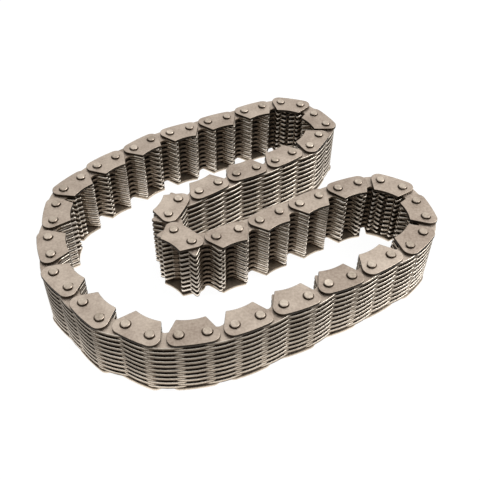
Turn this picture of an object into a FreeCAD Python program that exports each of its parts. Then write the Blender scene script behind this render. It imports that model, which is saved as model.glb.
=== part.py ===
# Endless silent chain, lying on its side in an open horseshoe, as it comes out of a gearbox
#
# The chain is 31 guide links and 31 plain links, taking turns, on 62 pins.
# A guide link holds two staked pins. On them sit nine toothed plates and, outside them, two guide plates.
# A plain link is ten toothed plates, which turn freely on the pins of the guide links on either side.
# Plates of neighbouring links interleave, one by one, so every pin passes through 21 plates.
# The pins stand upright here. Every tooth points to the inside of the loop.

import FreeCAD, Part
import os
from math import cos, sin, radians, degrees, atan2

import Sketcher
from FreeCAD import Matrix, Placement, Rotation, Vector

doc = FreeCAD.newDocument("silent_chain")

# Driving sizes, in millimetres and degrees

sheet = doc.addObject("Spreadsheet::Sheet", "sizes")
CELLS = [
    ("pitch", 9.525, "pin to pin, 3/8 inch"),
    ("plain_link_plates", 10, "toothed plates in a plain link"),
    ("plate_thickness", 1.16, "one toothed plate"),
    ("guide_thickness", 1.16, "one guide plate"),
    ("plate_gap", 0.05, "play between one plate and the next"),
    ("pin_diameter", 3.3, "round pin"),
    ("pin_stand_out", 0.8, "staked end of a pin, beyond the guide plate"),
    ("pin_chamfer", 0.42, "bevel that staking leaves on the pin's end"),
    ("seat_gap", 0.02, "between a pin and the plates that it is staked in, on the radius"),
    ("running_gap", 0.05, "between a pin and the plates that turn on it, on the radius"),
    ("flank_angle", 30.0, "outer flank of a plate against the upright"),
    ("tooth_rise", 0.7, "tip of a tooth above the pins, in pitches"),
    ("tooth_end_gap", 1.85, "between the ends of two toothed plates of one layer, on a straight run"),
    ("tooth_end_radius", 3.8, "round end of a toothed plate, round its pin"),
    ("tooth_back_depth", 4.15, "from the pins down to the back of a toothed plate, at its ends"),
    ("tooth_back_radius", 30.0, "crown of a toothed plate's back"),
    ("tooth_tip_radius", 0.71, "round tip of a tooth"),
    ("throat_angle", 30.0, "inner flank of a tooth against the upright"),
    ("throat_radius", 2.7, "round bottom of the gap between the two teeth of a plate"),
    ("guide_end_gap", 1.14, "between the ends of two guide plates, on a straight run"),
    ("guide_end_radius", 3.4, "round end of a guide plate"),
    ("guide_back_depth", 4.3, "from the pins down to the back of a guide plate, at its ends"),
    ("guide_back_radius", 60.0, "slight crown of a guide plate's back"),
    ("guide_tip_radius", 0.5, "round corner of a guide plate"),
    ("guide_dip_radius", 18.6, "shallow dip between the corners of a guide plate"),
    ("first_heading", -47.0, "direction of the first guide link, from +X"),
]
for row, (alias, value, meaning) in enumerate(CELLS, start=1):
    sheet.set(f"A{row}", meaning)
    sheet.set(f"B{row}", str(value))
    sheet.setAlias(f"B{row}", alias)
doc.recompute()


def size(alias):
    return float(getattr(sheet, alias))


# How the chain lies: the turn at each pin, in degrees, two pins to each guide link, positive
# towards the teeth. It runs from the first guide link along the near side to the right end, back
# to the fold, out along the far side to its end, and home round the left.

LIE = {
    "lower_left_bend": [26, -2, 4, 28, -10, 27],
    "near_outer_strand": [10, 9, 7, 7, -9, 15, -14, 11, -1, -1],
    "right_end_loop": [16, 24, 30, 12, 38, 37, 13, 8],
    "near_inner_strand": [1, -2, 4, -2, -5, -11],
    "fold": [-56, -33, -37, -37],
    "far_inner_strand": [4, 2, -11, 5, 4, -4],
    "far_end_loop": [28, 5, 56, 6, 39, 35, 5, 5],
    "far_outer_strand": [-7, 6, -5, 7, 11, -2, 1, 12],
    "upper_left_bend": [-2, 30, 12, -5, 18, 0],
}
FULL_TURN = 360.0
CLOSING_STEPS = 12


def walk(turns, pitch, first_heading):
    """Pins and link headings of an open run: each link is one pitch long, turned from the last."""
    pins = [Vector(0, 0, 0)]
    headings = [radians(first_heading)]
    for turn in turns[1:]:
        headings.append(headings[-1] + radians(turn))
    for heading in headings:
        pins.append(pins[-1] + Vector(cos(heading), sin(heading), 0) * pitch)
    return pins, headings


def close_loop(turns, pitch, first_heading):
    """Let every joint give a little, as little in all as possible, until the last pin meets the first.

    A joint's turn moves the far end of the run square to the line from that joint to the end, and
    counts fully in the sum of turns. The three errors, two of place and one of turn, are shared out
    by least squares, and the small steps are repeated because the moves are arcs.
    """
    turns = list(turns)
    for _ in range(CLOSING_STEPS):
        pins, headings = walk(turns, pitch, first_heading)
        end = pins[-1]
        effects = [Vector(0, 0, 1)]
        for pin in pins[1:-1]:
            arm = (end - pin) / pitch
            effects.append(Vector(-arm.y, arm.x, 1))
        missing = Vector(-end.x / pitch, -end.y / pitch, radians(FULL_TURN - sum(turns)))
        sums = Matrix()
        sums.A11 = sum(e.x * e.x for e in effects)
        sums.A12 = sums.A21 = sum(e.x * e.y for e in effects)
        sums.A13 = sums.A31 = sum(e.x * e.z for e in effects)
        sums.A22 = sum(e.y * e.y for e in effects)
        sums.A23 = sums.A32 = sum(e.y * e.z for e in effects)
        sums.A33 = sum(e.z * e.z for e in effects)
        share = sums.inverse().multiply(missing)
        turns = [turn + degrees(effect.dot(share)) for turn, effect in zip(turns, effects)]
    return walk(turns, pitch, first_heading)


# Sketch helpers


def plane_of(body, role):
    return next(f for f in body.Origin.OriginFeatures if f.Role == role)


def new_body(name):
    body = doc.addObject("PartDesign::Body", name)
    body.AllowCompound = True
    return body


def new_sketch(body, name):
    sketch = body.newObject("Sketcher::SketchObject", name)
    sketch.AttachmentSupport = [(plane_of(body, "XY_Plane"), "")]
    sketch.MapMode = "FlatFace"
    return sketch


def bind(sketch, constraint, name, expression):
    """Add a dimension under a name and tie it to the sheet."""
    index = sketch.addConstraint(constraint)
    sketch.renameConstraint(index, name)
    sketch.setExpression(f"Constraints.{name}", expression)


def arc(centre, radius, start, end):
    """An arc, anticlockwise from the angle start to the angle end, in degrees."""
    circle = Part.Circle(centre, Vector(0, 0, 1), radius)
    return Part.ArcOfCircle(circle, radians(start), radians(end))


def line(start, end):
    return Part.LineSegment(start, end)


START, END, CENTRE = 1, 2, 3
ORIGIN = (-1, 1)
UPRIGHT = -2


# Plates: every plate has a crowned back, two round ends and two straight flanks, and toothed and
# guide plates differ in their sizes and between their tips. The middle of a plate is on the origin
# and its pins are on the X axis.

TOOTH = "tooth"
GUIDE = "guide"


def end_centre(kind):
    """Centre of a plate's right end: its far side is half a plate out, its low side on the back."""
    half_plate = (2 * size("pitch") - size(f"{kind}_end_gap")) / 2
    radius = size(f"{kind}_end_radius")
    return Vector(half_plate - radius, radius - size(f"{kind}_back_depth"), 0)


def tip_centre(kind):
    """Centre of the round tip on the right, which touches the flank and the height of the teeth."""
    lean = radians(size("flank_angle"))
    tip_radius = size(f"{kind}_tip_radius")
    height = size("tooth_rise") * size("pitch") - tip_radius
    end = end_centre(kind)
    reach = size(f"{kind}_end_radius") - tip_radius - (height - end.y) * sin(lean)
    return Vector(end.x + reach / cos(lean), height, 0)


def mirrored(point):
    return Vector(-point.x, point.y, 0)


def polar(angle):
    return Vector(cos(radians(angle)), sin(radians(angle)), 0)


def angle_of(direction):
    return degrees(atan2(direction.y, direction.x))


def draw_back_and_flanks(sketch, kind):
    """The back, the ends and the flanks, each starting where the last ends."""
    tip_radius = size(f"{kind}_tip_radius")
    end = end_centre(kind)
    tip = tip_centre(kind)
    flank = size("flank_angle")
    end_radius = size(f"{kind}_end_radius")
    back_radius = size(f"{kind}_back_radius")
    back = Vector(0, end.y + ((back_radius - end_radius) ** 2 - end.x ** 2) ** 0.5, 0)
    low = angle_of(end - back)
    flank_foot = end + polar(flank) * end_radius
    flank_top = tip + polar(flank) * tip_radius
    edges = {}
    edges["back"] = sketch.addGeometry(arc(back, back_radius, 180 - low, low + 360))
    edges["end"] = sketch.addGeometry(arc(end, end_radius, low, flank))
    edges["flank"] = sketch.addGeometry(line(flank_foot, flank_top))
    edges["left_end"] = sketch.addGeometry(arc(mirrored(end), end_radius, 180 - flank, 180 - low))
    edges["left_flank"] = sketch.addGeometry(line(mirrored(flank_foot), mirrored(flank_top)))
    return edges, tip


def tie_outline(sketch, edges, kind):
    """Make back, ends, flanks and tips run smoothly into each other, and give them their sizes."""

    def smooth(one, one_end, other, other_end):
        joint = Sketcher.Constraint("Tangent", edges[one], one_end, edges[other], other_end)
        sketch.addConstraint(joint)

    smooth("back", END, "end", START)
    smooth("end", END, "flank", START)
    smooth("flank", END, "tip", START)
    smooth("back", START, "left_end", END)
    smooth("left_end", START, "left_flank", START)
    smooth("left_flank", END, "left_tip", END)
    for right, left in (("end", "left_end"), ("tip", "left_tip")):
        ends = (edges[left], CENTRE, edges[right], CENTRE)
        sketch.addConstraint(Sketcher.Constraint("Symmetric", *ends, UPRIGHT))
        sketch.addConstraint(Sketcher.Constraint("Equal", edges[left], edges[right]))
    end = end_centre(kind)
    tip = tip_centre(kind)
    half_plate = f"(2 * sizes.pitch - sizes.{kind}_end_gap) / 2"
    end_x = Sketcher.Constraint("DistanceX", *ORIGIN, edges["end"], CENTRE, end.x)
    bind(sketch, end_x, "end_x", f"{half_plate} - sizes.{kind}_end_radius")
    end_y = Sketcher.Constraint("DistanceY", edges["end"], CENTRE, *ORIGIN, -end.y)
    bind(sketch, end_y, "end_drop", f"sizes.{kind}_back_depth - sizes.{kind}_end_radius")
    end_radius = Sketcher.Constraint("Radius", edges["end"], size(f"{kind}_end_radius"))
    bind(sketch, end_radius, "end_radius", f"sizes.{kind}_end_radius")
    back_radius = Sketcher.Constraint("Radius", edges["back"], size(f"{kind}_back_radius"))
    bind(sketch, back_radius, "back_radius", f"sizes.{kind}_back_radius")
    lean = Sketcher.Constraint("Angle", edges["flank"], radians(90 + size("flank_angle")))
    bind(sketch, lean, "flank_lean", "(90 + sizes.flank_angle) * 1 deg")
    tip_radius = Sketcher.Constraint("Radius", edges["tip"], size(f"{kind}_tip_radius"))
    bind(sketch, tip_radius, "tip_radius", f"sizes.{kind}_tip_radius")
    tip_y = Sketcher.Constraint("DistanceY", *ORIGIN, edges["tip"], CENTRE, tip.y)
    bind(sketch, tip_y, "tip_rise", f"sizes.tooth_rise * sizes.pitch - sizes.{kind}_tip_radius")


def draw_pin_holes(sketch, gap_alias):
    radius = size("pin_diameter") / 2 + size(gap_alias)
    holes = []
    for side in (-1, 1):
        centre = Vector(side * size("pitch") / 2, 0, 0)
        holes.append(sketch.addGeometry(Part.Circle(centre, Vector(0, 0, 1), radius)))
    left, right = holes
    pair = (left, CENTRE, right, CENTRE)
    sketch.addConstraint(Sketcher.Constraint("Symmetric", *pair, *ORIGIN))
    sketch.addConstraint(Sketcher.Constraint("PointOnObject", right, CENTRE, -1))
    sketch.addConstraint(Sketcher.Constraint("Equal", left, right))
    apart = Sketcher.Constraint("DistanceX", left, CENTRE, right, CENTRE, size("pitch"))
    bind(sketch, apart, "hole_spacing", "sizes.pitch")
    bore = Sketcher.Constraint("Radius", right, radius)
    bind(sketch, bore, "hole_radius", f"sizes.pin_diameter / 2 + sizes.{gap_alias}")


def tooth_plate_outline(sketch):
    """Two teeth with a deep round throat between them, which a sprocket's tooth fills."""
    edges, tip = draw_back_and_flanks(sketch, TOOTH)
    throat = size("throat_angle")
    tip_radius = size("tooth_tip_radius")
    throat_radius = size("throat_radius")
    rise = (tip_radius + throat_radius - tip.x * cos(radians(throat))) / sin(radians(throat))
    bottom = Vector(0, tip.y + rise, 0)
    wall_top = tip + polar(180 - throat) * tip_radius
    wall_foot = bottom + polar(-throat) * throat_radius
    edges["tip"] = sketch.addGeometry(arc(tip, tip_radius, size("flank_angle"), 180 - throat))
    left_turn = (throat, 180 - size("flank_angle"))
    edges["left_tip"] = sketch.addGeometry(arc(mirrored(tip), tip_radius, *left_turn))
    edges["wall"] = sketch.addGeometry(line(wall_foot, wall_top))
    edges["left_wall"] = sketch.addGeometry(line(mirrored(wall_foot), mirrored(wall_top)))
    edges["throat"] = sketch.addGeometry(arc(bottom, throat_radius, 180 + throat, 360 - throat))
    tie_outline(sketch, edges, TOOTH)
    for one, one_end, other, other_end in (
        ("tip", END, "wall", END),
        ("wall", START, "throat", END),
        ("throat", START, "left_wall", START),
        ("left_wall", END, "left_tip", START),
    ):
        joint = Sketcher.Constraint("Tangent", edges[one], one_end, edges[other], other_end)
        sketch.addConstraint(joint)
    centred = Sketcher.Constraint("PointOnObject", edges["throat"], CENTRE, UPRIGHT)
    sketch.addConstraint(centred)
    lean = Sketcher.Constraint("Angle", edges["wall"], radians(90 - throat))
    bind(sketch, lean, "wall_lean", "(90 - sizes.throat_angle) * 1 deg")
    radius = Sketcher.Constraint("Radius", edges["throat"], throat_radius)
    bind(sketch, radius, "throat_radius", "sizes.throat_radius")


def guide_plate_outline(sketch):
    """Corners as high as the teeth, with only a shallow dip between them."""
    edges, tip = draw_back_and_flanks(sketch, GUIDE)
    tip_radius = size("guide_tip_radius")
    dip_radius = size("guide_dip_radius")
    dip = Vector(0, tip.y + ((dip_radius + tip_radius) ** 2 - tip.x ** 2) ** 0.5, 0)
    towards_dip = angle_of(dip - tip)
    edges["tip"] = sketch.addGeometry(arc(tip, tip_radius, size("flank_angle"), towards_dip))
    left_turn = (180 - towards_dip, 180 - size("flank_angle"))
    edges["left_tip"] = sketch.addGeometry(arc(mirrored(tip), tip_radius, *left_turn))
    dip_turn = (360 - towards_dip, 180 + towards_dip)
    edges["dip"] = sketch.addGeometry(arc(dip, dip_radius, min(dip_turn), max(dip_turn)))
    tie_outline(sketch, edges, GUIDE)
    for one, one_end, other, other_end in (
        ("tip", END, "dip", END),
        ("dip", START, "left_tip", START),
    ):
        joint = Sketcher.Constraint("Tangent", edges[one], one_end, edges[other], other_end)
        sketch.addConstraint(joint)
    radius = Sketcher.Constraint("Radius", edges["dip"], dip_radius)
    bind(sketch, radius, "dip_radius", "sizes.guide_dip_radius")


# Packs of plates: a plate is drawn once, at the height of its lowest copy, and repeated upwards

ONE_LAYER = "(sizes.plate_thickness + sizes.plate_gap)"
LOWEST_GUIDE = "sizes.pin_stand_out"
LOWEST_PLAIN = "(sizes.pin_stand_out + sizes.guide_thickness + sizes.plate_gap)"
LOWEST_SEATED = f"({LOWEST_PLAIN} + {ONE_LAYER})"
PLATE_ROOM = f"(2 * sizes.plain_link_plates - 1) * {ONE_LAYER}"
GUIDE_SPACING = f"(sizes.guide_thickness + sizes.plate_gap + {PLATE_ROOM})"
PIN_LENGTH = f"(2 * sizes.pin_stand_out + sizes.guide_thickness + {GUIDE_SPACING})"


def plate_pack(name, outline, gap_alias, lowest, thickness, copies, spacing):
    body = new_body(name)
    sketch = new_sketch(body, f"{name}_outline")
    sketch.setExpression("AttachmentOffset.Base.z", lowest)
    outline(sketch)
    draw_pin_holes(sketch, gap_alias)
    pad = body.newObject("PartDesign::Pad", f"{name}_blank")
    pad.Profile = sketch
    pad.setExpression("Length", thickness)
    return repeat(body, pad, "Z_Axis", copies, f"{spacing} * ({copies} - 1)")


def repeat(body, feature, axis, copies, length):
    pattern = body.newObject("PartDesign::LinearPattern", f"{body.Name}_copies")
    pattern.Originals = [feature]
    pattern.Direction = (plane_of(body, axis), [""])
    pattern.setExpression("Occurrences", copies)
    pattern.setExpression("Length", length)
    body.Tip = pattern
    return body


def pin_pair():
    """Two round pins with bevelled ends, one at each end of a guide link."""
    body = new_body("pin_pair")
    sketch = body.newObject("Sketcher::SketchObject", "pin_profile")
    sketch.AttachmentSupport = [(plane_of(body, "XZ_Plane"), "")]
    sketch.MapMode = "FlatFace"
    sketch.setExpression("AttachmentOffset.Base.x", "-sizes.pitch / 2")
    radius = size("pin_diameter") / 2
    bevel = size("pin_chamfer")
    plates = (2 * size("plain_link_plates") - 1) * (size("plate_thickness") + size("plate_gap"))
    length = 2 * size("pin_stand_out") + 2 * size("guide_thickness") + size("plate_gap") + plates
    corners = [
        Vector(0, 0, 0),
        Vector(radius - bevel, 0, 0),
        Vector(radius, bevel, 0),
        Vector(radius, length - bevel, 0),
        Vector(radius - bevel, length, 0),
        Vector(0, length, 0),
    ]
    edges = []
    for start, end in zip(corners, corners[1:] + corners[:1]):
        edges.append(sketch.addGeometry(line(start, end)))
    for one, other in zip(edges, edges[1:] + edges[:1]):
        sketch.addConstraint(Sketcher.Constraint("Coincident", one, END, other, START))
    foot, low_bevel, wall, high_bevel, head, axis = edges
    sketch.addConstraint(Sketcher.Constraint("Coincident", foot, START, *ORIGIN))
    sketch.addConstraint(Sketcher.Constraint("Vertical", axis))
    sketch.addConstraint(Sketcher.Constraint("Vertical", wall))
    sketch.addConstraint(Sketcher.Constraint("Horizontal", foot))
    sketch.addConstraint(Sketcher.Constraint("Horizontal", head))
    sketch.addConstraint(Sketcher.Constraint("Equal", foot, head))
    wide = Sketcher.Constraint("DistanceX", *ORIGIN, wall, START, radius)
    bind(sketch, wide, "pin_radius", "sizes.pin_diameter / 2")
    tall = Sketcher.Constraint("DistanceY", axis, END, axis, START, length)
    bind(sketch, tall, "pin_length", PIN_LENGTH)
    for bevel_edge, low, high, name in (
        (low_bevel, START, END, "low_bevel"),
        (high_bevel, START, END, "high_bevel"),
    ):
        rise = Sketcher.Constraint("DistanceY", bevel_edge, low, bevel_edge, high, bevel)
        bind(sketch, rise, name, "sizes.pin_chamfer")
    run = Sketcher.Constraint("DistanceX", low_bevel, START, low_bevel, END, bevel)
    bind(sketch, run, "bevel_run", "sizes.pin_chamfer")
    turned = body.newObject("PartDesign::Revolution", "turned_pin")
    turned.Profile = sketch
    turned.ReferenceAxis = (sketch, ["V_Axis"])
    turned.Angle = 360
    return repeat(body, turned, "X_Axis", "2", "sizes.pitch")


guide_plates = plate_pack(
    "guide_plates", guide_plate_outline, "seat_gap", LOWEST_GUIDE, "sizes.guide_thickness",
    "2", GUIDE_SPACING,
)
seated_plates = plate_pack(
    "seated_plates", tooth_plate_outline, "seat_gap", LOWEST_SEATED, "sizes.plate_thickness",
    "(sizes.plain_link_plates - 1)", f"2 * {ONE_LAYER}",
)
turning_plates = plate_pack(
    "turning_plates", tooth_plate_outline, "running_gap", LOWEST_PLAIN, "sizes.plate_thickness",
    "sizes.plain_link_plates", f"2 * {ONE_LAYER}",
)
pins = pin_pair()
doc.recompute()

# Links: each is a group of the same packs, laid along the loop

LINK_KINDS = {
    "guide_link": [guide_plates, seated_plates, pins],
    "plain_link": [turning_plates],
}
FIXED_STRAND = ("plain_link_17", "guide_link_18", "plain_link_18")


def lay_links():
    """One group for each link, in order round the loop, a plain link after each guide link."""
    turns = [turn for stretch in LIE.values() for turn in stretch]
    pin_points, headings = close_loop(turns, size("pitch"), size("first_heading"))
    links = {}
    for number, heading in enumerate(headings):
        kind = "plain_link" if number % 2 else "guide_link"
        name = f"{kind}_{number // 2 + 1:02d}"
        link = doc.addObject("Part::Compound", name)
        link.Links = LINK_KINDS[kind]
        middle = (pin_points[number] + pin_points[number + 1]) / 2
        link.Placement = Placement(middle, Rotation(Vector(0, 0, 1), degrees(heading)))
        links[name] = link
    return links


def centre_links(links):
    """Shift the loop so that the middle of its footprint is on the origin."""
    doc.recompute()
    box = Part.makeCompound([link.Shape for link in links.values()]).BoundBox
    shift = Vector(-box.Center.x, -box.Center.y, -box.ZMin)
    for link in links.values():
        link.Placement = Placement(link.Placement.Base + shift, link.Placement.Rotation)
    print(f"loop {box.XLength:.2f} x {box.YLength:.2f} x {box.ZLength:.2f} mm")


def group_fixed_strand(links):
    """Three links of a straight stretch, grouped as the piece that the rest of the loop moves on."""
    strand = doc.addObject("Part::Compound", "fixed_strand")
    strand.Links = [links.pop(name) for name in FIXED_STRAND]
    return {"fixed_strand": strand, **links}


links = lay_links()
centre_links(links)
nodes = group_fixed_strand(links)
doc.recompute()

# Checks and files

for item in doc.Objects:
    if "Invalid" in item.State or "Error" in item.State:
        raise RuntimeError(f"{item.Label} did not build: {item.State}")
os.makedirs("parts", exist_ok=True)
for name, node in nodes.items():
    if node.Shape.isNull() or not node.Shape.isValid():
        raise RuntimeError(f"{name} is not a sound shape")
    node.Label = name
    node.Shape.exportStep(f"parts/{node.Label}.step")
print(f"{len(nodes)} files, {sum(len(node.Shape.Solids) for node in nodes.values())} solids")
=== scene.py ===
# %% [markdown]
# A silent chain is a belt of flat steel plates on round pins. This lesson dresses one, plate by
# plate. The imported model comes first: it says where each link lies and which links move.

import bpy
import numpy as np
from mathutils import Matrix, Vector


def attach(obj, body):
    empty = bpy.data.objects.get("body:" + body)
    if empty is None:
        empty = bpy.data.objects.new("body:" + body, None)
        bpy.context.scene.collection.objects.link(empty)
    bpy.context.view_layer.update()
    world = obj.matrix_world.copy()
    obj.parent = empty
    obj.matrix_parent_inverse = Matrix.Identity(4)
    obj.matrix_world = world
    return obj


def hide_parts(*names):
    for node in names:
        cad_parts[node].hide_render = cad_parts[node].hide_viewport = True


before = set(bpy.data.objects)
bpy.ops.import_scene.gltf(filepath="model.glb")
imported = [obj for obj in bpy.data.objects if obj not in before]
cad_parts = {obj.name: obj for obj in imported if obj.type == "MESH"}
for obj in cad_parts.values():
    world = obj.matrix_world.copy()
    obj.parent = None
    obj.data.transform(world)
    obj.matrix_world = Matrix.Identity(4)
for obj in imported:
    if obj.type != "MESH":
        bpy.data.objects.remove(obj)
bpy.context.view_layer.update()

# %% [markdown]
# The sizes are the chain's own, in millimetres, the unit that a chain maker's catalogue uses.
# Blender works in metres, so one factor turns them over at the very end, in the mesh.

# %% Sizes of the chain
MM = 0.001
PITCH = 9.525
PLATE_THICKNESS = 1.16
PLATE_GAP = 0.05
PLAIN_LINK_PLATES = 10
PIN_RADIUS = 1.65
PIN_STAND_OUT = 0.8
PIN_BEVEL = 0.2
SEAT_GAP = 0.02
FLANK_ANGLE = 30.0
TOOTH_RISE = 0.7 * PITCH
TOOTHED = {"end_gap": 1.85, "end_radius": 3.8, "back_depth": 4.15, "back_radius": 30.0,
           "tip_radius": 0.71}
THROAT_ANGLE = 30.0
THROAT_RADIUS = 2.7
GUIDE = {"end_gap": 1.14, "end_radius": 3.4, "back_depth": 4.3, "back_radius": 60.0,
         "tip_radius": 0.5}
GUIDE_DIP_RADIUS = 18.6
LAYER_STEP = PLATE_THICKNESS + PLATE_GAP
LAYERS = 2 * PLAIN_LINK_PLATES + 1
PIN_LENGTH = 2 * PIN_STAND_OUT + LAYERS * LAYER_STEP - PLATE_GAP
print("layers of plates:", LAYERS, " pin length:", round(PIN_LENGTH, 2), "mm")

# %% [markdown]
# A photograph is matched by standing where its camera stood. The camera could be moved by eye, but
# the pins tell its place: they are one pitch apart everywhere, so only one viewpoint puts all of
# them where the picture has them. It looks down by 44 degrees with a slightly long lens. The place
# is in millimetres and the turns are in degrees.

# %% Camera at the photograph's viewpoint
CAMERA_PLACE = (-1.65, -209.78, 203.62)
CAMERA_TURN = 0.523
CAMERA_TILT = 43.821
CAMERA_ROLL = 0.571
CAMERA_LENS = 51.04
SENSOR_WIDTH = 36.0
NEAREST_SEEN = 10 * MM

camera_data = bpy.data.cameras.new("photo_camera")
camera_data.lens = CAMERA_LENS
camera_data.sensor_width = SENSOR_WIDTH
camera_data.clip_start = NEAREST_SEEN
camera = bpy.data.objects.new("photo_camera", camera_data)
bpy.context.scene.collection.objects.link(camera)
turn = Matrix.Rotation(np.radians(-CAMERA_TURN), 4, "Z")
tilt = Matrix.Rotation(np.radians(90 - CAMERA_TILT), 4, "X")
roll = Matrix.Rotation(np.radians(CAMERA_ROLL), 4, "Z")
camera.matrix_world = Matrix.Translation(Vector(CAMERA_PLACE) * MM) @ turn @ tilt @ roll
bpy.context.scene.camera = camera
bpy.context.scene.view_settings.view_transform = "Standard"
print("camera stands", round((Vector(CAMERA_PLACE) * MM).length, 3), "m from the chain's middle")

# %% [markdown]
# Materials are node trees. Two small helpers keep them readable: one turns a colour as a screen
# shows it into the linear values that Blender counts in, and one adds a node with its settings
# and links in a single call.

# %% Helpers for colours and nodes


def linear(hex_colour):
    """Each channel, from 0 to 1, is divided by 12.92 where dark, else bent by a power of 2.4."""
    channels = np.array([int(hex_colour[i:i + 2], 16) for i in (1, 3, 5)]) / 255
    bent = np.where(channels <= 0.04045, channels / 12.92, ((channels + 0.055) / 1.055) ** 2.4)
    return (*bent.tolist(), 1.0)


def add_node(tree, kind, settings=None, inputs=None):
    """Add a node, set its own settings, then give each input a value or a link from a socket."""
    node = tree.nodes.new(kind)
    for name, value in (settings or {}).items():
        setattr(node, name, value)
    for name, value in (inputs or {}).items():
        if isinstance(value, bpy.types.NodeSocket):
            tree.links.new(value, node.inputs[name])
        else:
            node.inputs[name].default_value = value
    return node


print("mid grey in linear values:", [round(c, 3) for c in linear("#808080")[:3]])

# %% [markdown]
# Steel shows what stands around it, so the studio matters more than the lamps. A picture of a
# studio could be wrapped round the chain, but a sky with one gradient needs no file and has only
# two brightnesses to match. It is a light tent, brightest above and behind on the right, which
# leaves the sides that face left and front darker. The gradient runs along one direction: dark
# where a ray points away from it, bright where it points along it. The background that the camera
# sees is plain white, and isn't what the steel sees.
#
# The floor glows most where it is close to the steel, and that lights the lower plates from below.

# %% Studio: world and floor
SKY_TOWARDS = (0.30, 0.42, 0.86)
SKY_DIM_FROM = -0.25
SKY_BRIGHT_FROM = 0.95
SKY_DIM = 0.16
SKY_BRIGHT = 1.16
SKY_SHOWN = 1.0
FLOOR_WHITE = 1.06
FLOOR_SHOWN = 0.90
FLOOR_MIRRORED = 0.60
FLOOR_CLOSE = 2.5
FLOOR_FAR = 0.15
GLOW_FULL = 3.6 * MM
GLOW_REACH = 36 * MM
FLOOR_SIZE = 3.0


def mixed_by_camera(tree, seen, otherwise):
    """One value where the camera looks straight at a surface, another for every other ray."""
    path = add_node(tree, "ShaderNodeLightPath")
    return add_node(tree, "ShaderNodeMix", {"data_type": "FLOAT"}, {
        "Factor": path.outputs["Is Camera Ray"], "A": otherwise, "B": seen}).outputs["Result"]


def floor_glow(tree):
    """A strength that falls smoothly as the ray from the steel down to the floor gets longer."""
    path = add_node(tree, "ShaderNodeLightPath")
    return add_node(tree, "ShaderNodeMapRange", {"interpolation_type": "SMOOTHSTEP"}, {
        "Value": path.outputs["Ray Length"], "From Min": GLOW_FULL, "From Max": GLOW_REACH,
        "To Min": FLOOR_CLOSE, "To Max": FLOOR_FAR}).outputs[0]


world = bpy.data.worlds.new("light_tent")
bpy.context.scene.world = world
world.use_nodes = True
tree = world.node_tree
tree.nodes.clear()
look = add_node(tree, "ShaderNodeTexCoord")
towards = add_node(tree, "ShaderNodeVectorMath", {"operation": "DOT_PRODUCT"}, {
    0: look.outputs["Generated"], 1: SKY_TOWARDS})
gradient = add_node(tree, "ShaderNodeMapRange", {"interpolation_type": "SMOOTHSTEP"}, {
    "Value": towards.outputs["Value"], "From Min": SKY_DIM_FROM, "From Max": SKY_BRIGHT_FROM,
    "To Min": SKY_DIM, "To Max": SKY_BRIGHT})
tent = add_node(tree, "ShaderNodeBackground", {}, {
    "Color": linear("#ffffff"),
    "Strength": mixed_by_camera(tree, SKY_SHOWN, gradient.outputs[0])})
add_node(tree, "ShaderNodeOutputWorld", {}, {"Surface": tent.outputs[0]})

paper = bpy.data.materials.new("white_paper")
paper.use_nodes = True
tree = paper.node_tree
tree.nodes.clear()
matt = add_node(tree, "ShaderNodeBsdfDiffuse", {}, {"Color": linear("#f2f2f2")})
glow = add_node(tree, "ShaderNodeEmission", {}, {
    "Strength": mixed_by_camera(tree, FLOOR_WHITE, floor_glow(tree))})
mixed = add_node(tree, "ShaderNodeMixShader", {}, {
    0: mixed_by_camera(tree, FLOOR_SHOWN, FLOOR_MIRRORED), 1: matt.outputs[0], 2: glow.outputs[0]})
add_node(tree, "ShaderNodeOutputMaterial", {}, {"Surface": mixed.outputs[0]})

corners = np.array([[-1, -1, 0], [1, -1, 0], [1, 1, 0], [-1, 1, 0]]) * FLOOR_SIZE / 2
floor_mesh = bpy.data.meshes.new("floor")
floor_mesh.from_pydata(corners.tolist(), [], [(0, 1, 2, 3)])
floor_mesh.materials.append(paper)
floor = bpy.data.objects.new("floor", floor_mesh)
bpy.context.scene.collection.objects.link(floor)
print("studio: a world that is", SKY_BRIGHT, "bright at most, and a floor", FLOOR_SIZE, "m wide")

# %% [markdown]
# Two square lamps help the sky. A point lamp would cut hard shadows, and the wider a lamp is, the
# softer they get. The key lamp stands on the right, low enough to draw a shadow on the left of each
# pin, and a weak fill lamp in front opens up the hollows between the teeth.

# %% Studio: lamps, in metres and watts


def add_lamp(name, place, side, power):
    """A square lamp that faces the chain's middle."""
    data = bpy.data.lights.new(name, "AREA")
    data.shape = "SQUARE"
    data.size = side
    data.energy = power
    lamp = bpy.data.objects.new(name, data)
    bpy.context.scene.collection.objects.link(lamp)
    aim = (-Vector(place)).to_track_quat("-Z", "Y")
    lamp.matrix_world = Matrix.Translation(Vector(place)) @ aim.to_matrix().to_4x4()
    return lamp


key_lamp = add_lamp("key_lamp", place=(0.62, 0.05, 0.50), side=0.40, power=4.0)
fill_lamp = add_lamp("fill_lamp", place=(-0.35, -0.60, 0.40), side=0.60, power=1.0)
print("lamps:", key_lamp.data.energy, "W at the right and", fill_lamp.data.energy, "W in front")

# %% [markdown]
# Every plate was blanked from strip: a punch shears it out. That gives three surfaces, the
# rolled face, the sheared edge and, between them, the corner that the punch pulls round. The
# assembled chain was then tumbled, which greys the faces and polishes the corners.
#
# A photograph of steel could be laid over each plate, but noise needs no picture and never repeats.
# Object coordinates are in metres here, so a pattern's scale is one over its grain size.

# %% How steel is made up
FINE_GRAIN = 0.9 * MM
BLOTCH = 7.0 * MM
SHEAR_LINE = 0.55 * MM
EVEN = (1.0, 1.0, 1.0)
UPRIGHT = (1.0, 1.0, 0.2)
DARK_FROM = 0.6
LIGHT_FROM = 1.4
NOISE_DETAIL = 3.0
NOISE_LOW = 0.3
NOISE_HIGH = 0.7
GLOSS_SPREAD = 0.08
BUMP_STRENGTH = 0.6


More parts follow.
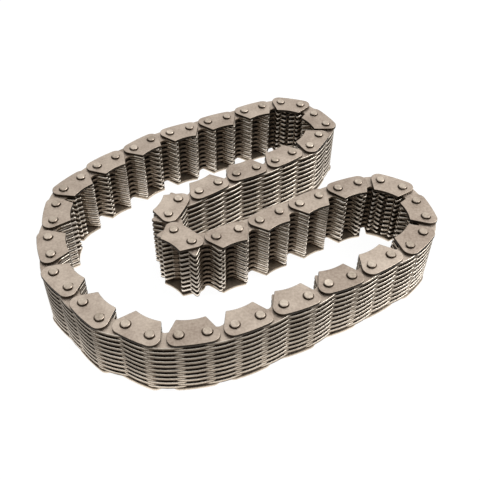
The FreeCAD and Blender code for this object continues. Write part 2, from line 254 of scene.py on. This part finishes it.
def grain(tree, size_of_grain, stretch=EVEN):
    """Noise with one speck per grain size, longer along an axis whose stretch is under one."""
    place = add_node(tree, "ShaderNodeTexCoord")
    mapping = add_node(tree, "ShaderNodeMapping", {}, {
        "Vector": place.outputs["Object"], "Scale": stretch})
    noise = add_node(tree, "ShaderNodeTexNoise", {}, {
        "Vector": mapping.outputs[0], "Scale": 1 / size_of_grain, "Detail": NOISE_DETAIL})
    return noise.outputs["Fac"]


def steel(name, dark, light, roughness, relief, speck=FINE_GRAIN, stretch=EVEN):
    """Metal whose colour wanders between two shades.

    Fine specks and coarse blotches, each a half on average, are added to the plate's own tone,
    which is nought on average. The sum lies about one, and picks a shade between dark and light.
    """
    material = bpy.data.materials.new(name)
    material.use_nodes = True
    tree = material.node_tree
    tree.nodes.clear()
    fine = grain(tree, speck, stretch)
    coarse = grain(tree, BLOTCH)
    tone = add_node(tree, "ShaderNodeAttribute", {"attribute_name": "tone"})
    uneven = add_node(tree, "ShaderNodeMath", {"operation": "ADD"}, {0: fine, 1: coarse})
    varied = add_node(tree, "ShaderNodeMath", {"operation": "ADD"}, {
        0: uneven.outputs[0], 1: tone.outputs["Fac"]})
    share = add_node(tree, "ShaderNodeMapRange", {}, {
        "Value": varied.outputs[0], "From Min": DARK_FROM, "From Max": LIGHT_FROM})
    shade = add_node(tree, "ShaderNodeMix", {"data_type": "RGBA"}, {
        "Factor": share.outputs[0], "A": linear(dark), "B": linear(light)})
    shine = add_node(tree, "ShaderNodeMapRange", {}, {
        "Value": fine, "From Min": NOISE_LOW, "From Max": NOISE_HIGH,
        "To Min": roughness - GLOSS_SPREAD, "To Max": roughness + GLOSS_SPREAD})
    bump = add_node(tree, "ShaderNodeBump", {}, {
        "Height": fine, "Strength": BUMP_STRENGTH, "Distance": relief})
    metal = add_node(tree, "ShaderNodeBsdfPrincipled", {}, {
        "Base Color": shade.outputs["Result"], "Metallic": 1.0,
        "Roughness": shine.outputs[0], "Normal": bump.outputs[0]})
    add_node(tree, "ShaderNodeOutputMaterial", {}, {"Surface": metal.outputs[0]})
    return material


print("grain sizes in mm:", [round(size / MM, 2) for size in (FINE_GRAIN, BLOTCH, SHEAR_LINE)])

# %% [markdown]
# Ten finishes tell the surfaces apart. Most differ in how much of the oil and dirt the tumbling
# took off, and some are painted light: corners are rubbed nearly white and carry a painted
# highlight, and the inside of the stack is painted brown as shade.
# Metal with one colour all over would look like plastic, so each has two shades.
#
# One material with a painted mask could do the same. But a face of a mesh already knows its
# material by number, so here the finishes' names stand for those numbers and nothing is painted.

# %% The ten finishes
FINE_RELIEF = 0.01 * MM
FACE_RELIEF = 0.02 * MM
SHEAR_RELIEF = 0.03 * MM

FINISHES = [
    # Tumbled strip steel: a dull, warm grey that hardly mirrors. Its grain of a few hundredths of
    # a millimetre is drawn at 0.9 mm, because a finer one doesn't show.
    steel("tumbled_strip_steel", "#97887b", "#c9bbac", 0.46, FACE_RELIEF),
    # Sheared steel: as light as the faces and smoother, with fine upright lines from the punch.
    steel("sheared_edge_steel", "#8e8172", "#c9bba9", 0.40, SHEAR_RELIEF, SHEAR_LINE, UPRIGHT),
    # Tumbled corners: rubbed bright, and lighter still as a painted highlight along each rim.
    steel("rubbed_and_highlit_corner_steel", "#d8ccbb", "#f2e9dc", 0.34, FINE_RELIEF),
    # Painted shade: brown-black steel for the shade inside the stack and round the pins.
    steel("painted_shade_inner_steel", "#42382e", "#605346", 0.55, FINE_RELIEF),
    # Ground pin steel, hardened: a little lighter and smoother than the plates.
    steel("ground_pin_steel", "#9c8f80", "#dacdbd", 0.44, FINE_RELIEF),
    # Painted shade on the round ends and throats, which lie in the gaps between the links.
    steel("painted_shade_edge_steel", "#6c5e51", "#928372", 0.46, SHEAR_RELIEF, SHEAR_LINE, UPRIGHT),
    # Guide plates' corners: rubbed less than the others, because the big faces shield them.
    steel("guide_corner_steel", "#a09283", "#c0b2a3", 0.46, FINE_RELIEF),
    # Upper guide plates' edges: sheared too, and painted dark as the shade under their rims.
    steel("guide_edge_painted_shade_steel", "#30281f", "#4c4136", 0.44, SHEAR_RELIEF, SHEAR_LINE, UPRIGHT),
    # Teeth: tips and outer flanks roll on the sprockets and stay bright, plus a painted highlight.
    steel("polished_and_highlit_tooth_steel", "#c6b9a9", "#f6ece0", 0.34, FACE_RELIEF, SHEAR_LINE, UPRIGHT),
    # Guide plates' inner faces: dull under a thin film of oil, and nearly as light as the outer.
    steel("guide_inner_steel", "#9a8c7c", "#bcae9d", 0.50, FINE_RELIEF),
]
(FACE, EDGE, CORNER, INSIDE, PIN_END, PAINTED_SHADE_EDGE, GUIDE_CORNER, GUIDE_EDGE, TOOTH_EDGE,
 GUIDE_INSIDE) = range(len(FINISHES))
SMOOTH_FINISHES = (EDGE, CORNER, PAINTED_SHADE_EDGE, GUIDE_CORNER, GUIDE_EDGE, TOOTH_EDGE)
print("finishes:", [finish.name for finish in FINISHES])

# %% [markdown]
# A plate's outline is a few arcs that run smoothly into each other. It could be a curve object,
# but as an array of points it can be pushed in, stacked and turned in one sum. Only the right
# half is worked out; the left half is its mirror image.

# %% Outlines
BACK_STEPS = 2
END_STEPS = 6
TIP_STEPS = 2
THROAT_STEPS = 2


def arc(centre, radius, start, end, steps):
    """Centre plus radius times cosine and sine of angles spread evenly from start to end."""
    angle = np.radians(np.linspace(start, end, steps + 1))
    return np.array(centre) + radius * np.stack([np.cos(angle), np.sin(angle)], axis=1)


def right_side(plate, end_steps, tip_steps, tip_stop):
    """Right half of the crowned back, round end, straight flank and round tip, anticlockwise.

    The end's circle touches the back's circle, so their centres are apart by the difference of
    their radii. The tip's circle touches the flank, which leans by the flank's angle.
    """
    end_radius, tip_radius = plate["end_radius"], plate["tip_radius"]
    end = np.array([PITCH - plate["end_gap"] / 2 - end_radius, end_radius - plate["back_depth"]])
    rise = ((plate["back_radius"] - end_radius) ** 2 - end[0] ** 2) ** 0.5
    low = np.degrees(np.arctan2(-rise, end[0]))
    lean = np.radians(FLANK_ANGLE)
    tip_y = TOOTH_RISE - tip_radius
    tip_x = end[0] + (end_radius - tip_radius - (tip_y - end[1]) * np.sin(lean)) / np.cos(lean)
    tip = np.array([tip_x, tip_y])
    back = arc([0, end[1] + rise], plate["back_radius"], -90, low, BACK_STEPS)[:-1]
    stop = tip_stop(tip)
    round_end = arc(end, end_radius, low, FLANK_ANGLE, end_steps)
    round_tip = arc(tip, tip_radius, FLANK_ANGLE, stop, tip_steps)
    return np.vstack([back, round_end, round_tip]), tip, stop


def closed(right, inner):
    """The right side, the inner stretch to the middle, and the mirror image of both."""
    half = np.vstack([right, inner])
    return np.vstack([half, half[-2:0:-1] * [-1, 1]])


def toothed_outline():
    """Two teeth with a round throat, whose circle touches both teeth's inner flanks."""
    right, tip, _ = right_side(TOOTHED, END_STEPS, TIP_STEPS, lambda _: 180 - THROAT_ANGLE)
    lean = np.radians(THROAT_ANGLE)
    rise = (TOOTHED["tip_radius"] + THROAT_RADIUS - tip[0] * np.cos(lean)) / np.sin(lean)
    throat = arc([0, tip[1] + rise], THROAT_RADIUS, -THROAT_ANGLE, -90, THROAT_STEPS)
    return closed(right, throat)


def guide_outline(end_steps=12, tip_steps=5, dip_steps=6):
    """Two corners with a shallow dip, whose circle touches both corners' circles from outside."""
    reach = GUIDE_DIP_RADIUS + GUIDE["tip_radius"]
    right, tip, stop = right_side(GUIDE, end_steps, tip_steps,
                                  lambda tip: np.degrees(np.arccos(-tip[0] / reach)))
    rise = (reach ** 2 - tip[0] ** 2) ** 0.5
    dip = arc([0, tip[1] + rise], GUIDE_DIP_RADIUS, stop - 180, -90, dip_steps)
    return closed(right, dip[1:])


toothed = toothed_outline()
guide = guide_outline()
print("outline points: toothed plate", len(toothed), " guide plate", len(guide))

# %% [markdown]
# A plate is its outline carried up a small profile: straight up the sheared edge, then inwards
# over the rounded corner. Modifiers for thickness and bevels could do that too, but here each strip
# gets a finish of its own and has to be told from the next. The outline's points are one parameter
# and the profile the other, so all corners of the mesh come from one grid.

# %% Grids of points


def outward(outline):
    """At each point, the line between its two neighbours turned a quarter outwards, one long."""
    along = np.roll(outline, -1, axis=0) - np.roll(outline, 1, axis=0)
    normal = np.stack([along[:, 1], -along[:, 0]], axis=1)
    return normal / np.linalg.norm(normal, axis=1, keepdims=True)


def swept(outline, profile):
    """Point (i, j) is outline point j, moved inwards by profile i's inset and up by its height."""
    profile = np.array(profile)
    flat = outline[None] - profile[:, :1, None] * outward(outline)[None]
    height = np.broadcast_to(profile[:, 1:, None], (len(profile), len(outline), 1))
    return np.concatenate([flat, height], axis=2).reshape(-1, 3)


def strips(rings, points):
    """Quads between ring i and ring i + 1, all the way round."""
    ring, j = np.meshgrid(np.arange(rings - 1), np.arange(points), indexing="ij")
    a = ring * points + j
    b = ring * points + (j + 1) % points
    return np.stack([a, b, b + points, a + points], axis=-1).reshape(-1, 4)


def holed_face(ring, first, radii, height, waist_steps=7):
    """A flat face with a hole at each pin, as rings of quads round each hole.

    Each half's rim runs along the outline and back down the middle. Every rim point is joined to
    a point on each circle at the same angle, as seen from the pin. The circles shrink, and the last
    is the hole's edge. It gives the added points, the quads, whose numbers go on from the given
    first, and for each quad whether it lies inside the first circle.
    """
    half = len(ring) // 2
    share = np.arange(1, waist_steps)[:, None] / waist_steps
    waist = ring[half] + (ring[0] - ring[half]) * share
    waist_index = first + np.arange(len(waist))
    added = [waist]
    quads = []
    inner = []
    count = len(waist)
    for side in (0, 1):
        arc_index = (np.arange(half + 1) + side * half) % len(ring)
        down = waist if side == 0 else waist[::-1]
        down_index = waist_index if side == 0 else waist_index[::-1]
        rim = np.vstack([ring[arc_index], down])
        rim_index = np.concatenate([arc_index, down_index])
        pin = np.array([(0.5 - side) * PITCH, 0.0])
        ray = rim - pin
        for step, radius in enumerate(radii):
            added.append(pin + ray / np.linalg.norm(ray, axis=1, keepdims=True) * radius)
            circle_index = first + count + np.arange(len(rim))
            count += len(rim)
            turned = (rim_index, np.roll(rim_index, -1), np.roll(circle_index, -1), circle_index)
            quads.append(np.stack(turned, axis=-1))
            inner += [step > 0] * len(rim)
            rim_index = circle_index
    points = np.vstack(added)
    return np.hstack([points, np.full((len(points), 1), height)]), np.vstack(quads), inner


print("quads in a ring round one plate:", len(strips(2, len(toothed))))

# %% [markdown]
# Hundreds of toothed plates share one shape, so theirs is light: three strips round the edge. The
# punch cuts the upper part of an edge clean and tears the rest, and that torn lowest strip is
# duller and painted dark as the shade between the plates. The guide plate shows from above, so it
# has holes for its pins, a ring of painted shade round each, and a corner in two strips. A boolean
# could cut the holes, but rings of quads leave a mesh that shades evenly.
#
# A staked pin stands a little out of the guide plate. Its wall there is painted dark as shade, and
# its flat end is a little lighter than the plates.

# %% Plates and pins
BROKEN_ZONE = 0.46
TOOTHED_ROUNDING = 0.12
GUIDE_ROUNDING = 0.16
GUIDE_ROUNDING_HALFWAY = 0.05
# Width of the ring of painted shade round each pin hole.
PAINTED_SHADE_RING = 0.38


def toothed_plate(top_finish):
    """Points, faces and finish numbers of one toothed plate, its foot at height nought."""
    profile = [(0.0, 0.0), (0.0, BROKEN_ZONE), (0.0, PLATE_THICKNESS - TOOTHED_ROUNDING),
               (TOOTHED_ROUNDING, PLATE_THICKNESS)]
    count = len(toothed)
    quads = strips(len(profile), count).tolist()
    foot = list(range(count))[::-1]
    head = list(range((len(profile) - 1) * count, len(profile) * count))
    # The round ends and throats get painted shade on their edges and corners.
    back = [EDGE] * (BACK_STEPS + 1) + [PAINTED_SHADE_EDGE] * (END_STEPS - 1)
    # The teeth's tips and flanks are worn bright and carry a painted highlight.
    tooth = [TOOTH_EDGE] * (TIP_STEPS + 1) + [EDGE] + [PAINTED_SHADE_EDGE] * THROAT_STEPS
    sheared = back + tooth + tooth[::-1] + back[::-1]
    # Corners get a painted highlight as well as wear, except beside the painted shade.
    corner = [PAINTED_SHADE_EDGE if finish == PAINTED_SHADE_EDGE else CORNER for finish in sheared]
    # The foot and the torn lowest strip are painted dark as shade, and so is the top unless
    # top_finish is given.
    finish = [INSIDE] * count + sheared + corner
    return swept(toothed, profile), quads + [foot, head], finish + [INSIDE, top_finish]


def guide_plate(upper):
    """One guide plate. Its rounded corner is on the outside of the chain, up or down."""
    profile = [(0.0, 0.0), (0.0, PLATE_THICKNESS - GUIDE_ROUNDING),
               (GUIDE_ROUNDING_HALFWAY, PLATE_THICKNESS - GUIDE_ROUNDING_HALFWAY),
               (GUIDE_ROUNDING, PLATE_THICKNESS)]
    count = len(guide)
    rings = swept(guide, profile)
    quads = strips(len(profile), count).tolist()
    # Upper guide plates' edges are painted dark as shade; the lower ones are plain sheared steel.
    finish = [GUIDE_EDGE if upper else EDGE] * (2 * count) + [GUIDE_CORNER] * count
    hole = PIN_RADIUS + SEAT_GAP
    foot, foot_quads, _ = holed_face(guide, len(rings), (hole,), 0.0)
    first = len(rings) + len(foot)
    head_ring = rings[-count:, :2]
    head, head_quads, in_shade_ring = holed_face(head_ring, first, (hole + PAINTED_SHADE_RING, hole), PLATE_THICKNESS)
    last_ring = (len(profile) - 1) * count
    head_quads = np.where(head_quads < count, head_quads + last_ring, head_quads)
    quads += foot_quads[:, ::-1].tolist() + head_quads.tolist()
    # The ring round each hole is painted dark as shade.
    finish += [GUIDE_INSIDE] * len(foot_quads) + [INSIDE if ringed else FACE for ringed in in_shade_ring]
    points = np.vstack([rings, foot, head])
    if not upper:
        points = points * [1, 1, -1] + [0, 0, PLATE_THICKNESS]
        quads = [quad[::-1] for quad in quads]
    return points, quads, finish


def pin(side, segments=28):
    """A round pin: a circle swept up a profile with a bevel at each end."""
    angle = np.linspace(0, 2 * np.pi, segments, endpoint=False)
    circle = np.stack([np.cos(angle), np.sin(angle)], axis=1)
    low = PIN_STAND_OUT
    high = PIN_LENGTH - PIN_STAND_OUT
    profile = np.array([(PIN_RADIUS - PIN_BEVEL, 0), (PIN_RADIUS, PIN_BEVEL), (PIN_RADIUS, low),
                        (PIN_RADIUS, high), (PIN_RADIUS, PIN_LENGTH - PIN_BEVEL),
                        (PIN_RADIUS - PIN_BEVEL, PIN_LENGTH)])
    flat = circle[None] * profile[:, :1, None] + [side * PITCH / 2, 0]
    height = np.broadcast_to(profile[:, 1:, None], (len(profile), segments, 1))
    points = np.concatenate([flat, height], axis=2).reshape(-1, 3)
    quads = strips(len(profile), segments).tolist()
    foot = list(range(segments))[::-1]
    head = list(range(len(points) - segments, len(points)))
    # The pin's wall between its bevels is painted dark as shade.
    by_strip = [FACE, INSIDE, INSIDE, INSIDE, FACE]
    finish = [number for number in by_strip for _ in range(segments)] + [PIN_END, PIN_END]
    return points, quads + [foot, head], finish


face_counts = [len(faces) for _, faces, _ in (toothed_plate(FACE), guide_plate(True), pin(1))]
print("faces of a toothed plate, a guide plate and a pin:", face_counts)

# %% [markdown]
# A link is a pile of such parts. Plates of one link lie on every second layer, because the
# neighbours' plates fill the layers between. Each plate could be an object of its own, but a link
# turns as one body, so it is one object. Its plates still differ: each gets a shade of its own, a
# little lighter or darker, stored with its points and read by the materials.

# %% Piles of plates
TONE_SPREAD = 0.12
SHADE_SEED = 62
shades = np.random.default_rng(SHADE_SEED)


def layer_height(layer):
    """Foot of a layer of plates, counted from nought at the lower guide plates."""
    return PIN_STAND_OUT + layer * LAYER_STEP


def guide_link_parts():
    """Two pins, nine toothed plates on the even layers inside, and a guide plate at each end."""
    parts = [(pin(-1), 0.0), (pin(1), 0.0)]
    # The inner plates' faces are painted dark as the shade inside the stack.
    parts += [(toothed_plate(INSIDE), layer_height(layer)) for layer in range(2, LAYERS - 1, 2)]
    parts += [(guide_plate(False), layer_height(0)), (guide_plate(True), layer_height(LAYERS - 1))]
    return parts


def plain_link_parts():
    """Ten toothed plates on the odd layers. The top one shows between the guide plates; the faces
    of the others are painted dark as shade.
    """
    hidden = [(toothed_plate(INSIDE), layer_height(layer)) for layer in range(1, LAYERS - 2, 2)]
    return hidden + [(toothed_plate(FACE), layer_height(LAYERS - 2))]


def link_piece(name, parts, start, end):
    """One mesh of all parts, turned to run from one pin to the next and moved between them.

    Turning takes x and y to cosine times x less sine times y, and sine times x plus cosine times y.
    """
    points, faces, finish, tone = [], [], [], []
    for (part_points, part_faces, part_finish), height in parts:
        first = sum(len(block) for block in points)
        points.append(part_points + [0, 0, height])
        faces += [[first + corner for corner in face] for face in part_faces]
        finish += part_finish
        tone.append(np.full(len(part_points), shades.normal(0, TONE_SPREAD)))
    points = np.vstack(points)
    cosine, sine = (end - start) / np.linalg.norm(end - start)
    middle = (start + end) / 2
    x = cosine * points[:, 0] - sine * points[:, 1] + middle[0]
    y = sine * points[:, 0] + cosine * points[:, 1] + middle[1]
    mesh = bpy.data.meshes.new(name)
    mesh.from_pydata((np.stack([x, y, points[:, 2]], axis=1) * MM).tolist(), [], faces)
    for material in FINISHES:
        mesh.materials.append(material)
    finish = np.array(finish, dtype=np.int32)
    mesh.polygons.foreach_set("material_index", finish)
    mesh.polygons.foreach_set("use_smooth", np.isin(finish, SMOOTH_FINISHES))
    attribute = mesh.attributes.new("tone", "FLOAT", "POINT")
    attribute.data.foreach_set("value", np.concatenate(tone).astype(np.float32))
    mesh.update()
    piece = bpy.data.objects.new(name, mesh)
    bpy.context.scene.collection.objects.link(piece)
    return piece


print("parts in a guide link:", len(guide_link_parts()))
print("parts in a plain link:", len(plain_link_parts()))

# %% [markdown]
# Where does each link lie? A table of places could be typed in, but the frame already tells: the
# highest points of a guide link are the rims of its two pins, so the middle of each rim is a pin.
# Guide links hold every pin of the chain, and a plain link runs from the last pin of one guide
# link to the first of the next.

# %% Pins, read from the frame
GUIDE_LINKS = 31
FIXED = "fixed_strand"
FIXED_LINKS = ("plain_link_17", "guide_link_18", "plain_link_18")
RIM_DEPTH = 0.01


def body_of(link):
    """The link's own body, or the one that three links of the far strand share."""
    return FIXED if link in FIXED_LINKS else link


def pins_in(node):
    """Middles of the two pins: points at the top, parted by the side of their mean they lie on."""
    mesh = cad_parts[node].data
    points = np.empty(len(mesh.vertices) * 3)
    mesh.vertices.foreach_get("co", points)
    points = points.reshape(-1, 3) / MM
    at_top = points[:, 2] > points[:, 2].max() - RIM_DEPTH
    top = np.unique(points[at_top][:, :2].round(3), axis=0)
    offset = top - top.mean(axis=0)
    along = np.linalg.svd(offset, full_matrices=False)[2][0]
    right = offset @ along > 0
    return [(top[side].min(axis=0) + top[side].max(axis=0)) / 2 for side in (right, ~right)]


guide_names = [f"guide_link_{number + 1:02d}" for number in range(GUIDE_LINKS)]
pairs = [pins_in(body_of(name)) for name in guide_names]
for number, pair in enumerate(pairs):
    following = pairs[(number + 1) % GUIDE_LINKS]
    reach = [min(np.linalg.norm(one - other) for other in following) for one in pair]
    if reach[0] < reach[1]:
        pair.reverse()
pins = [one for pair in pairs for one in pair]
spacing = [np.linalg.norm(pins[k] - pins[k - 1]) for k in range(len(pins))]
print("pins:", len(pins), " spacing in mm:", round(min(spacing), 3), "to", round(max(spacing), 3))

# %% [markdown]
# Now the chain is laid, link by link. An array along a curve could lay it too, but its links
# couldn't turn one by one. So every piece rides on the body of its own link and turns with it.
# Three links of the far strand are one body, which the rest moves on.

# %% Lay the chain
for number, start in enumerate(pins):
    plain = number % 2 == 1
    link = f"{'plain_link' if plain else 'guide_link'}_{number // 2 + 1:02d}"
    parts = plain_link_parts() if plain else guide_link_parts()
    piece = link_piece(f"dressed_{link}", parts, start, pins[(number + 1) % len(pins)])
    body = body_of(link)
    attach(piece, body)
    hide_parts(body)
print("laid", len(pins), "links")
